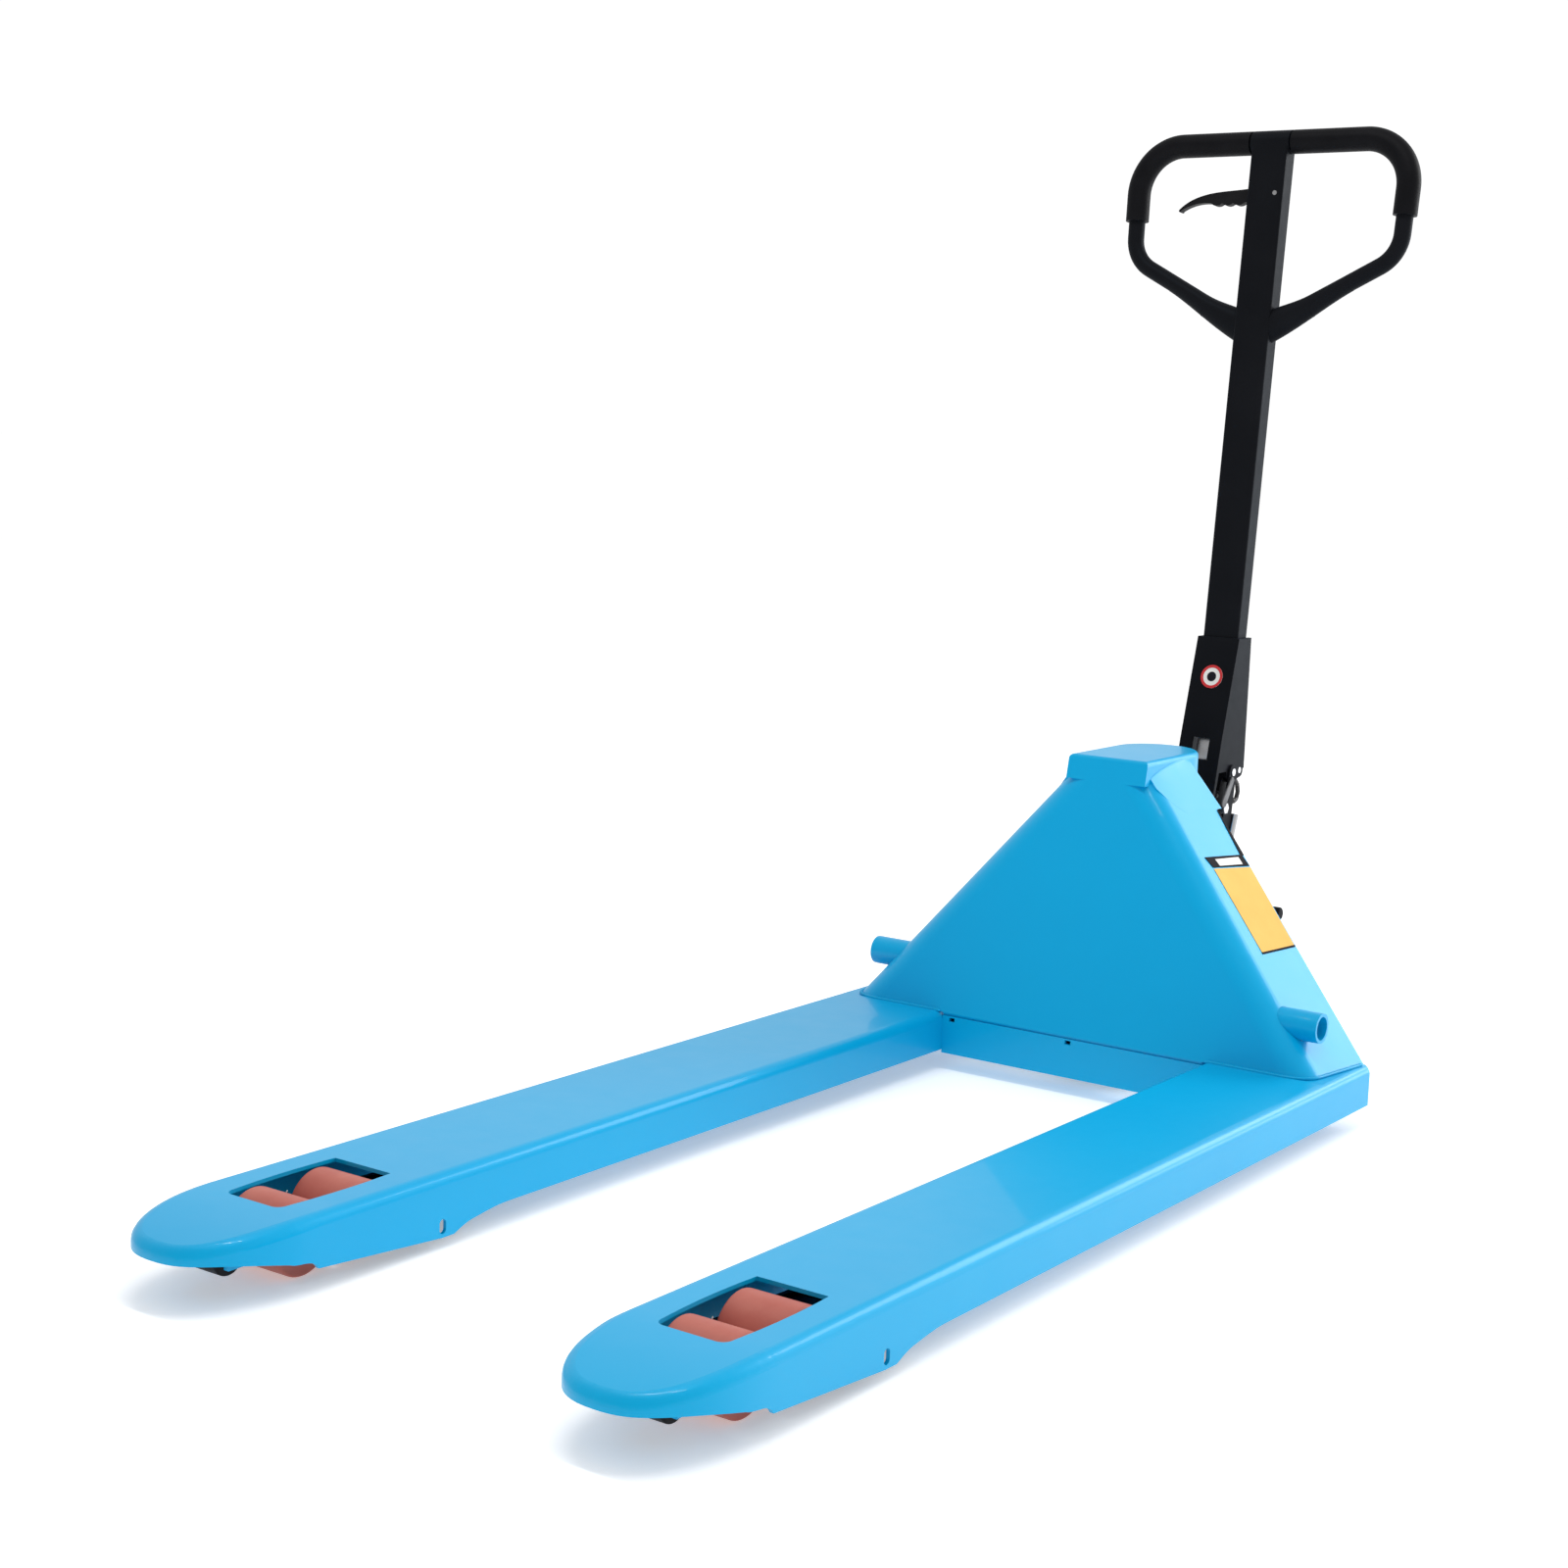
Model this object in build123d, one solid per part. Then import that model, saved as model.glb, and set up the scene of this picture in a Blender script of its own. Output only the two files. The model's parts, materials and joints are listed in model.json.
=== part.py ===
from build123d import *
import os
from math import asin, cos, hypot, radians, sin

# Hand pallet truck with tandem load rollers, lowered, handle upright. Millimetres.
# +Z is up, the fork tips point along -Y and the handle stands at +Y.
# Dimensions are written with y = 0 just behind the front of the cross member;
# every piece is moved by SHIFT_Y at the end, so that the origin is on the floor,
# under the middle of the whole truck.

# Driving dimensions
TRUCK_WIDTH = 685.0
FORK_WIDTH = 160.0
FORK_TOP = 76.0
TIP_Y = -1220.0
HEEL_Y = 112.0
SHEET = 4.0
LIFT = 115.0
FORK_X = (TRUCK_WIDTH - FORK_WIDTH) / 2
INNER_X = FORK_X - FORK_WIDTH / 2
FIT = 0.05          # radial clearance of a running fit

# Fork channel
FLANGE_Z = 26.0
NOSE_LENGTH = 140.0
NOSE_POWER = 0.8    # exponent of the superellipse that rounds the nose in plan
CROWN_START = -1085.0
CROWN_DROP = 13.0
EDGE_RADIUS = 12.0
CUTOUT_REAR = -955.0
CUTOUT_FRONT = -1100.0
CUTOUT_HALF = 38.5

# Load rollers
ROLLER_R = 37.0
ROLLER_WIDTH = 70.0
ROLLER_PITCH = 82.0
BOGIE_Y = -1026.0
ROLLER_CORE_R = 25.0
ROLLER_AXLE_R = 6.0
LINK_T = 5.0
LINK_X = ROLLER_WIDTH / 2 + 1.0
BOGIE_PIN_R = 7.0

# Entry rollers under the noses
ENTRY_R = 18.0
ENTRY_Y = -1152.0
ENTRY_Z = 40.0
ENTRY_WIDTH = 56.0
ENTRY_AXLE_R = 5.0

# Wheel brackets
BRACKET_Y = -860.0
BRACKET_Z = 30.0
BRACKET_AXLE_R = 7.0
BRACKET_HUB_R = 12.0
BRACKET_ARM_T = 6.0
BRACKET_ARM_X = 44.0
BRACKET_LEVER = 33.0
ROD_PIN_R = 4.5

# Rocker: a cross tube with two rear arms and two short levers
TUBE_Y = 31.0
TUBE_Z = 130.0
TUBE_R = 18.0
TUBE_WALL = 4.0
TUBE_END = 313.0
ROCKER_ARM = 150.0
ROCKER_ARM_T = 8.0
ROCKER_ARM_X = 65.0
REAR_PIN_R = 7.0

# Shell: sloping front plate, two flanks and a cap on the ram
SHELL_BOTTOM = 75.0     # the forks are a millimetre lower behind its foot
SHELL_FOOT_Y = -12.8
SHELL_TOP = 391.0
PLATE_SLOPE = 0.206
REAR_SLOPE = 0.17
CAP_HALF = 55.0
CAP_TOP = 415.0
CAP_BOTTOM = 385.0
BEND_R = 34.0

# Pump and steering
STEER_Y = 180.0
WHEEL_R = 90.0
WHEEL_WIDTH = 50.0
WHEEL_X = 52.0
HUB_R = 62.0
STEER_AXLE_R = 10.0
RAM_R = 17.5
CYLINDER_R = 36.0
SEAT_Z = 198.0
SEAT_TOP = 214.0
PLUNGER_Y = 360.0
PLUNGER_R = 7.0
TOWER_TOP = 300.0
EAR_X = 16.0            # ears that carry the handle's pivot
EAR_T = 8.0
CAM_R = 8.0
CAM_Y = 368.0
SPRING_WIRE = 1.6
SPRING_FOOT = 288.0
SPRING_POCKET_R = 13.0
RELEASE_Y = 318.0
RELEASE_Z = 342.0
CHAIN_END = Vector(0.0, 340.0, 371.0)
RELIEF_YZ = (322.0, 326.0)
VALVE_YZ = (348.0, 289.0)
PEDAL_Y = 300.0
PEDAL_Z = 240.0

# Handle
PIVOT_Y = 342.0
PIVOT_Z = 372.0
PIVOT_R = 7.0
COLUMN_X = 50.0
COLUMN_Y = 30.0
COLUMN_WALL = 3.0
COLUMN_SLOPE = 0.10
COLUMN_FRONT = 355.0    # y of the column's front face at COLUMN_REF_Z
COLUMN_REF_Z = 615.0
COLUMN_FOOT = 445.0
LOOP_TOP = 1192.5
LOOP_HALF = 193.0
LOOP_R = 11.0
GRIP_R = 15.5
YOKE_HALF = 30.0
YOKE_T = 5.0
LEVER_Z = 1125.0
LEVER_PIVOT_X = 15.0
GRIP_END = 1094.0
ROD_LENGTH = 678.0

# The linkage swings by equal amounts at both ends of its lift
WHEEL_ARM = hypot(BOGIE_Y - BRACKET_Y, ROLLER_R - BRACKET_Z)
BRACKET_REST = asin((ROLLER_R - BRACKET_Z) / WHEEL_ARM)
BRACKET_SWING = BRACKET_REST + asin((LIFT - ROLLER_R + BRACKET_Z) / WHEEL_ARM)
ROD_TRAVEL = 2 * BRACKET_LEVER * sin(BRACKET_SWING / 2)
ROCKER_RISE = 75.0
ROCKER_REST = asin(ROCKER_RISE / ROCKER_ARM)
ROCKER_SWING = ROCKER_REST + asin((LIFT - ROCKER_RISE) / ROCKER_ARM)
ROCKER_LEVER = ROD_TRAVEL / (2 * sin(ROCKER_SWING / 2))
REAR_EYE = (TUBE_Y + ROCKER_ARM * cos(ROCKER_REST), TUBE_Z + ROCKER_RISE)
LEVER_EYE = (TUBE_Y + ROD_TRAVEL / 2, TUBE_Z - ROCKER_LEVER * cos(ROCKER_SWING / 2))
BRACKET_EYE = (
    BRACKET_Y + ROD_TRAVEL / 2,
    BRACKET_Z + BRACKET_LEVER * cos(BRACKET_SWING / 2),
)

LOOP_REAR = COLUMN_FRONT + COLUMN_SLOPE * (LOOP_TOP - COLUMN_REF_Z) + COLUMN_Y / 2 + GRIP_R
SHIFT_Y = -(LOOP_REAR + TIP_Y) / 2

parts = {}


def keep(name, shape):
    parts[name] = shape


def both_sides(name, shape):
    """Keeps a piece of the +X side and its mirror image."""
    keep("right_" + name, shape)
    keep("left_" + name, mirror(shape, about=Plane.YZ))


def with_mirror(shape):
    return shape + mirror(shape, about=Plane.YZ)


def block(x0, x1, y0, y1, z0, z1):
    centre = ((x0 + x1) / 2, (y0 + y1) / 2, (z0 + z1) / 2)
    return Pos(*centre) * Box(abs(x1 - x0), abs(y1 - y0), abs(z1 - z0))


def rod_x(y, z, radius, x0, x1):
    """A round bar along X."""
    return Pos((x0 + x1) / 2, y, z) * Rot(0, 90, 0) * Cylinder(radius, abs(x1 - x0))


def rod_z(x, y, radius, z0, z1):
    """A round bar along Z."""
    return Pos(x, y, (z0 + z1) / 2) * Cylinder(radius, z1 - z0)


def side_face(points):
    """A closed outline of (y, z) points, seen from +X."""
    return make_face(Polyline(*points, close=True))


def side_plate(face, x0, x1):
    """A face of (y, z) coordinates made solid between two x values."""
    return extrude(Plane.YZ.offset(x0) * face, x1 - x0)


def link_face(*discs):
    """The outline of a strap stretched round discs given as (y, z, radius)."""
    rings = [Pos(y, z) * Edge.make_circle(radius) for y, z, radius in discs]
    return make_hull(rings)


def column_front(z):
    return COLUMN_FRONT + COLUMN_SLOPE * (z - COLUMN_REF_Z)


# ---------------------------------------------------------------- forks

def fork_plan(inset):
    """Plan of a fork about its own centre line, with its rounded nose."""
    half = FORK_WIDTH / 2 - inset
    length = NOSE_LENGTH - inset
    start = TIP_Y + NOSE_LENGTH
    nose = []
    for step in range(13):
        angle = radians(15 * step)
        side = 1 if cos(angle) >= 0 else -1
        x = half * side * abs(cos(angle)) ** NOSE_POWER
        nose.append((x, start - length * abs(sin(angle)) ** NOSE_POWER))
    nose[6] = (0, start - length)
    nose[12] = (-half, start)
    curve = Spline(*nose, tangents=((0, -1), (0, 1)))
    back = Polyline((-half, start), (-half, HEEL_Y - inset), (half, HEEL_Y - inset), (half, start))
    return make_face(Curve() + [curve, back])


def fork_top_line(drop):
    """Top line of a fork from its heel to its tip, falling gently over the nose."""
    top = FORK_TOP - drop
    length = CROWN_START - TIP_Y
    radius = (length ** 2 + CROWN_DROP ** 2) / (2 * CROWN_DROP)
    middle = length / 2
    fall = radius - (radius ** 2 - middle ** 2) ** 0.5
    crown = ThreePointArc(
        (CROWN_START, top), (CROWN_START - middle, top - fall), (TIP_Y, top - CROWN_DROP)
    )
    return [Line((HEEL_Y, top), (CROWN_START, top)), crown]


def fork_side():
    """Side view of a fork: straight flange, deep belly at the brackets, raised nose."""
    rim_z = 48.5
    belly = Spline((-832, FLANGE_Z), (-868, 22.5), (-896, 16.5), tangents=((-1, 0), (-1, -0.42)))
    foot = Polyline((-896, 16.5), (-908, 11.5), (-925, 11.5), (-1089, 24.5))
    arch = Spline((-1089, 24.5), (-1096, 31), (-1106, 33.5), (-1124, 36.5))
    rim = Spline((-1124, 36.5), (-1150, 42), (-1185, 47.5), (TIP_Y, rim_z))
    nose = Line((TIP_Y, rim_z), (TIP_Y, FORK_TOP - CROWN_DROP))
    heel = Polyline((HEEL_Y, FORK_TOP), (HEEL_Y, FLANGE_Z), (-832, FLANGE_Z))
    return make_face(Curve() + [belly, foot, arch, rim, nose, heel] + fork_top_line(0))


def round_top(solid, radius):
    """Rounds the long top edges and the nose, but not the edges that run across."""
    def is_rim(edge):
        box = edge.bounding_box()
        along = box.size.Y > 1
        return along and box.min.Z > FORK_TOP - CROWN_DROP - SHEET - 1
    return fillet([edge for edge in solid.edges() if is_rim(edge)], radius)


def fork_cutout():
    """Opening over the rollers: square at the rear, rounded at the front."""
    rear, front, half = CUTOUT_REAR, CUTOUT_FRONT, CUTOUT_HALF
    bow = 2.5
    side = ThreePointArc((half, rear), (half + bow, (rear + front) / 2 + 15), (half - 1, front + 11))
    corner = ThreePointArc((half - 1, front + 11), (half - 4, front + 3), (half - 12, front))
    edges = [side, corner]
    edges += [mirror(edge, about=Plane.YZ) for edge in (side, corner)]
    edges += [Line((-half, rear), (half, rear)), Line((12 - half, front), (half - 12, front))]
    return extrude(Pos(0, 0, 55) * make_face(Curve() + edges), 30)


def axle_lugs(x_near, x_far, y, z, radius, reach, top):
    """Two lugs under the top plate that carry an axle."""
    lug = block(x_near, x_far, y - reach, y + reach, z - reach, top)
    lugs = lug + mirror(lug, about=Plane.YZ)
    return lugs - rod_x(y, z, radius, -x_far - 1, x_far + 1)


def fork():
    """One fork about its own centre line: a pressed channel open below."""
    half = FORK_WIDTH / 2
    outer = extrude(fork_plan(0), FORK_TOP + 5) & side_plate(fork_side(), -half, half)
    outer = round_top(outer, EDGE_RADIUS)
    inner_side = make_face(
        Curve() + fork_top_line(SHEET)
        + [Polyline((TIP_Y, FORK_TOP - SHEET - CROWN_DROP), (TIP_Y, -5), (HEEL_Y, -5),
                    (HEEL_Y, FORK_TOP - SHEET))]
    )
    inner = extrude(Pos(0, 0, -5) * fork_plan(SHEET), FORK_TOP + 10)
    inner = round_top(inner & side_plate(inner_side, -half, half), EDGE_RADIUS - SHEET)
    body = outer - inner
    body -= fork_cutout()
    eye = Pos(-924, 23.0) * Rot(0, 0, 90) * SlotOverall(15, 9)
    body -= side_plate(eye, -half - 1, half + 1)
    body -= block(-13, 13, TUBE_Y - 32, TUBE_Y + 36, FORK_TOP - 10, FORK_TOP + 5)
    body -= block(-half - 1, half + 1, SHELL_FOOT_Y, HEEL_Y + 1, SHELL_BOTTOM, FORK_TOP + 5)
    body += axle_lugs(52, 66, BRACKET_Y, BRACKET_Z, BRACKET_AXLE_R, 9, FORK_TOP - SHEET)
    entry_top = FORK_TOP - SHEET - 2
    body += axle_lugs(31, 37, ENTRY_Y, ENTRY_Z, ENTRY_AXLE_R, 9, entry_top)
    return body


def build_forks():
    both_sides("fork", Pos(FORK_X, 0, 0) * fork())
    axle = rod_x(BRACKET_Y, BRACKET_Z, BRACKET_AXLE_R, FORK_X - 68, FORK_X + 68)
    keep("bracket_axles", with_mirror(axle))
    small = rod_x(ENTRY_Y, ENTRY_Z, ENTRY_AXLE_R, FORK_X - 39, FORK_X + 39)
    keep("entry_axles", with_mirror(small))
    half = ENTRY_WIDTH / 2
    wheel = rod_x(ENTRY_Y, ENTRY_Z, ENTRY_R, FORK_X - half, FORK_X + half)
    wheel = fillet(wheel.edges().filter_by(GeomType.CIRCLE), 2.5)
    wheel -= rod_x(ENTRY_Y, ENTRY_Z, ENTRY_AXLE_R + FIT, FORK_X - half - 1, FORK_X + half + 1)
    both_sides("entry_roller", wheel)


def build_cross_member():
    """Box section between the forks, with a seam and two drain slots in its front."""
    front, rear, low, high = -12.0, 45.0, 22.0, SHELL_BOTTOM
    body = block(-INNER_X, INNER_X, front, rear, low, high)
    wall = 5.0
    body -= block(-INNER_X, INNER_X, front + wall, rear - wall, low + wall, high - wall)
    for x in (0.0, -INNER_X + 14):
        body -= block(x - 4, x + 4, front - 1, front + wall + 1, high - 11, high - 6)
    body -= block(-INNER_X, INNER_X, front - 1, front + 2, high - 4, high - 1.5)
    keep("cross_member", body)


# ---------------------------------------------------------------- shell

def flank_x(y, z, inset):
    """Half width of the flank plane at a point, moved inwards by inset."""
    return 336 + 0.1505 * (y - 111) - 0.8668 * (z - 76) - 1.33 * inset


def shell_section(z, inset, rear_y):
    """Plan of the shell at one height."""
    front = 54.7 + PLATE_SLOPE * (z - 400) + 1.02 * inset
    near, far = flank_x(front, z, inset), flank_x(rear_y, z, inset)
    return Plane.XY.offset(z) * make_face(
        Polyline((-near, front), (near, front), (far, rear_y), (-far, rear_y), close=True)
    )


def rear_line(z):
    return 108 + REAR_SLOPE * (z - SHELL_BOTTOM)


def shell_block(inset, bottom, top, rear_extra):
    """Loft between two plans, with its two sloping front ridges rounded."""
    lower = shell_section(bottom, inset, rear_line(bottom) + rear_extra)
    upper = shell_section(top, inset, rear_line(top) + rear_extra)
    body = loft([lower, upper], ruled=True)
    ridges = [
        edge for edge in body.edges()
        if edge.length > 200 and edge.center().Y < 60 and abs(edge.tangent_at(0.5).Z) > 0.3
    ]
    return fillet(ridges, BEND_R - inset)


def flank_frame(y, z):
    """Plane that lies on the outside of the +X flank; its local y runs up the slope."""
    normal = Vector(0.751, -0.113, 0.651).normalized()
    along = Vector(0.1505, 1, 0).normalized()
    return Plane(origin=(flank_x(y, z, 0), y, z), x_dir=along, z_dir=normal)


def flank_patch(points, lift, thickness):
    """A thin plate on the +X flank from (y, z) corners."""
    frame = flank_frame(*points[0])
    corners = [frame.to_local_coords(Vector(flank_x(y, z, 0), y, z)) for y, z in points]
    face = make_face(Polyline(*[(c.X, c.Y) for c in corners], close=True))
    return extrude(frame.offset(lift) * face, thickness)


def build_shell():
    outer = shell_block(0, SHELL_BOTTOM, SHELL_TOP, 0)
    inner = shell_block(SHEET, SHELL_BOTTOM - 10, SHELL_TOP + 10, 60)
    shell = outer - inner
    hole = rod_x(TUBE_Y, TUBE_Z, TUBE_R + 0.3, -TUBE_END - 20, TUBE_END + 20)
    keep("shell", shell - hole)


def build_cap():
    """Head plate on the ram: flat top, straight sides, round back, hollow below."""
    def outline(inset, low, high):
        half = CAP_HALF - inset
        plan = make_face(
            Curve() + [
                Polyline((-half, STEER_Y), (-half, 30), (half, 30), (half, STEER_Y)),
                ThreePointArc((half, STEER_Y), (0, STEER_Y + half), (-half, STEER_Y)),
            ]
        )
        solid = extrude(Pos(0, 0, low) * plan, high - low)
        front = side_face([
            (54.7 + PLATE_SLOPE * (low - 400) + 1.02 * inset, low),
            (54.7 + PLATE_SLOPE * (high - 400) + 1.02 * inset, high),
            (300, high),
            (300, low),
        ])
        return solid & side_plate(front, -half, half)
    cap = outline(0, CAP_BOTTOM, CAP_TOP)
    cap = fillet(cap.faces().sort_by(Axis.Z)[-1].edges(), 6)
    cap -= outline(6, CAP_BOTTOM - 1, CAP_TOP - 12)
    boss = rod_z(0, STEER_Y, 30, CAP_BOTTOM + 3, CAP_TOP - 12)
    shell_core = shell_block(0, SHELL_BOTTOM, SHELL_TOP, 0)
    cap = cap - shell_core
    keep("head_cap", cap + boss)
    ram = rod_z(0, STEER_Y, RAM_R, 200, CAP_BOTTOM - 7)
    ram = fillet(ram.edges().sort_by(Axis.Z)[0], 2)
    keep("ram", ram + rod_z(0, STEER_Y, 26, CAP_BOTTOM - 7, CAP_BOTTOM + 3))


def build_labels():
    """Blank plates on the +X flank."""
    keep("flank_label", flank_patch([(73, 292), (143, 287), (127, 202), (59, 202)], 0.06, 0.6))
    keep("header_plate", flank_patch([(70, 305), (142, 301), (143, 288.5), (73, 293.5)], 0.06, 0.8))


# ---------------------------------------------------------------- linkage

def build_rocker():
    """Cross tube with arms over the wheels and levers down to the push rods."""
    tube = rod_x(TUBE_Y, TUBE_Z, TUBE_R, -TUBE_END, TUBE_END)
    tube -= rod_x(TUBE_Y, TUBE_Z, TUBE_R - TUBE_WALL, -TUBE_END - 1, TUBE_END + 1)
    eye_y, eye_z = REAR_EYE
    knee = (104.0, 190.0)
    arm = link_face((TUBE_Y, TUBE_Z, TUBE_R + 6), (*knee, 12))
    arm += link_face((*knee, 12), (eye_y, eye_z, 12))
    arm = side_plate(arm, ROCKER_ARM_X, ROCKER_ARM_X + ROCKER_ARM_T)
    toward = Vector(LEVER_EYE[0] - TUBE_Y, LEVER_EYE[1] - TUBE_Z).normalized() * (TUBE_R - 3)
    lever = link_face((TUBE_Y + toward.X, TUBE_Z + toward.Y, 10), (*LEVER_EYE, 9))
    near = side_plate(lever, FORK_X + 7, FORK_X + 13)
    far = side_plate(lever, FORK_X - 13, FORK_X - 7)
    core = rod_x(TUBE_Y, TUBE_Z, TUBE_R - 1, -TUBE_END, TUBE_END)
    eyes = rod_x(eye_y, eye_z, REAR_PIN_R, -80, 80) + rod_x(*LEVER_EYE, ROD_PIN_R, -320, 320)
    for plate in (arm, near, far):
        tube += with_mirror(plate - core - eyes)
    keep("rocker", tube)
    pin = rod_x(eye_y, eye_z, REAR_PIN_R, ROCKER_ARM_X - 12, ROCKER_ARM_X + ROCKER_ARM_T + 3)
    lever_pin = rod_x(*LEVER_EYE, ROD_PIN_R, FORK_X - 15, FORK_X + 15)
    keep("rocker_pins", with_mirror(pin) + with_mirror(lever_pin))


def build_push_rod():
    """Straight bar in the channel; its cranked neck rises to the rocker lever."""
    axis_z = BRACKET_EYE[1]
    front = BRACKET_EYE[0]
    back = LEVER_EYE[0]
    bar = Pos(FORK_X, (front + back) / 2, axis_z) * Rot(90, 0, 0) * Cylinder(6.5, back - front)
    neck = block(FORK_X - 6, FORK_X + 6, back - 9, back + 9, axis_z - 7, LEVER_EYE[1] + 9)
    end_plate = block(FORK_X - 6, FORK_X + 6, front - 10, front + 22, axis_z - 9, axis_z + 9)
    rod = bar + neck + end_plate
    dip = ROCKER_LEVER * (1 - cos(ROCKER_SWING / 2)) + 1
    eye_hole = link_face(
        (back, LEVER_EYE[1] + 0.5, ROD_PIN_R + 0.4), (back, LEVER_EYE[1] - dip, ROD_PIN_R + 0.4)
    )
    rod -= side_plate(eye_hole, FORK_X - 9, FORK_X + 9)
    saddle = link_face((front, axis_z, ROD_PIN_R + 0.4), (front, axis_z + 30, ROD_PIN_R + 0.4))
    rod -= side_plate(saddle, FORK_X - 9, FORK_X + 9)
    both_sides("push_rod", rod)


def build_bracket():
    """Bracket that carries the tandem rollers and swings down as the fork rises."""
    half = BRACKET_ARM_X + BRACKET_ARM_T
    hub = rod_x(BRACKET_Y, BRACKET_Z, BRACKET_HUB_R - 1, FORK_X - half, FORK_X + half)
    arm_face = link_face((BRACKET_Y, BRACKET_Z, BRACKET_HUB_R), (BOGIE_Y, ROLLER_R, 12))
    lever_face = link_face((BRACKET_Y, BRACKET_Z, BRACKET_HUB_R), (*BRACKET_EYE, 7))
    body = hub
    for sign in (-1, 1):
        x0 = FORK_X + sign * BRACKET_ARM_X
        body += side_plate(arm_face, x0, x0 + sign * BRACKET_ARM_T)
        x0 = FORK_X + sign * 7
        body += side_plate(lever_face, x0, x0 + sign * 6)
    web = side_face([(-882, 24), (-882, 38), (-930, 41), (-930, 33)])
    body += side_plate(web, FORK_X - BRACKET_ARM_X - 1, FORK_X + BRACKET_ARM_X + 1)
    body -= rod_x(BRACKET_Y, BRACKET_Z, BRACKET_AXLE_R + FIT, FORK_X - half - 1, FORK_X + half + 1)
    body -= rod_x(*BRACKET_EYE, ROD_PIN_R, FORK_X - 20, FORK_X + 20)
    body -= rod_x(BOGIE_Y, ROLLER_R, BOGIE_PIN_R, FORK_X - half - 1, FORK_X + half + 1)
    both_sides("wheel_bracket", body)
    stub = rod_x(BOGIE_Y, ROLLER_R, BOGIE_PIN_R, FORK_X + LINK_X, FORK_X + half + 2)
    stubs = stub + mirror(stub, about=Plane.YZ.offset(FORK_X))
    both_sides("bracket_pins", stubs + rod_x(*BRACKET_EYE, ROD_PIN_R, FORK_X - 15, FORK_X + 15))


def build_bogie():
    """Two link plates with the two roller axles between them."""
    ends = [BOGIE_Y - ROLLER_PITCH / 2, BOGIE_Y + ROLLER_PITCH / 2]
    plate = link_face((ends[0], ROLLER_R, 13), (ends[1], ROLLER_R, 13))
    body = side_plate(plate, FORK_X + LINK_X, FORK_X + LINK_X + LINK_T)
    body += side_plate(plate, FORK_X - LINK_X - LINK_T, FORK_X - LINK_X)
    body -= rod_x(BOGIE_Y, ROLLER_R, BOGIE_PIN_R + FIT, FORK_X - 50, FORK_X + 50)
    reach = LINK_X + LINK_T + 1
    axles = [rod_x(y, ROLLER_R, ROLLER_AXLE_R, FORK_X - reach, FORK_X + reach) for y in ends]
    both_sides("bogie_plates", body - axles[0] - axles[1])
    both_sides("roller_axles", axles[0] + axles[1])


def build_load_rollers():
    half = ROLLER_WIDTH / 2
    for name, y in (("front", BOGIE_Y - ROLLER_PITCH / 2), ("rear", BOGIE_Y + ROLLER_PITCH / 2)):
        tyre = rod_x(y, ROLLER_R, ROLLER_R, FORK_X - half, FORK_X + half)
        tyre = fillet(tyre.edges().filter_by(GeomType.CIRCLE), 3)
        tyre -= rod_x(y, ROLLER_R, ROLLER_CORE_R, FORK_X - half - 1, FORK_X + half + 1)
        core = rod_x(y, ROLLER_R, ROLLER_CORE_R, FORK_X - half, FORK_X + half)
        core -= rod_x(y, ROLLER_R, ROLLER_AXLE_R + FIT, FORK_X - half - 1, FORK_X + half + 1)
        for sign in (-1, 1):
            recess = rod_x(y, ROLLER_R, 20, FORK_X + sign * half, FORK_X + sign * (half - 2))
            core -= recess - rod_x(y, ROLLER_R, 10, FORK_X - half, FORK_X + half)
        both_sides(name + "_roller_tyre", tyre)
        both_sides(name + "_roller_core", core)


# ---------------------------------------------------------------- pump

def build_seat():
    """Ring that carries the rocker; the pump turns inside it."""
    ring = rod_z(0, STEER_Y, 54, SEAT_Z, SEAT_TOP)
    eye_y, eye_z = REAR_EYE
    slot_end = TUBE_Y + ROCKER_ARM
    lug = link_face((eye_y, eye_z, 13), (slot_end, eye_z, 13))
    ring += with_mirror(side_plate(lug, 50.2, 62))
    ring -= rod_z(0, STEER_Y, CYLINDER_R + FIT, SEAT_Z - 30, SEAT_TOP + 30)
    slot = link_face((eye_y, eye_z, REAR_PIN_R + 2.5), (slot_end, eye_z, REAR_PIN_R + 2.5))
    ring -= side_plate(slot, 50, 70)
    ring -= side_plate(slot, -70, -50)
    keep("linkage_seat", ring)
    bearing = rod_z(0, STEER_Y, 50, SEAT_Z - 8, SEAT_Z) - rod_z(0, STEER_Y, CYLINDER_R + FIT, 180, 200)
    keep("thrust_bearing", bearing)


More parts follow.
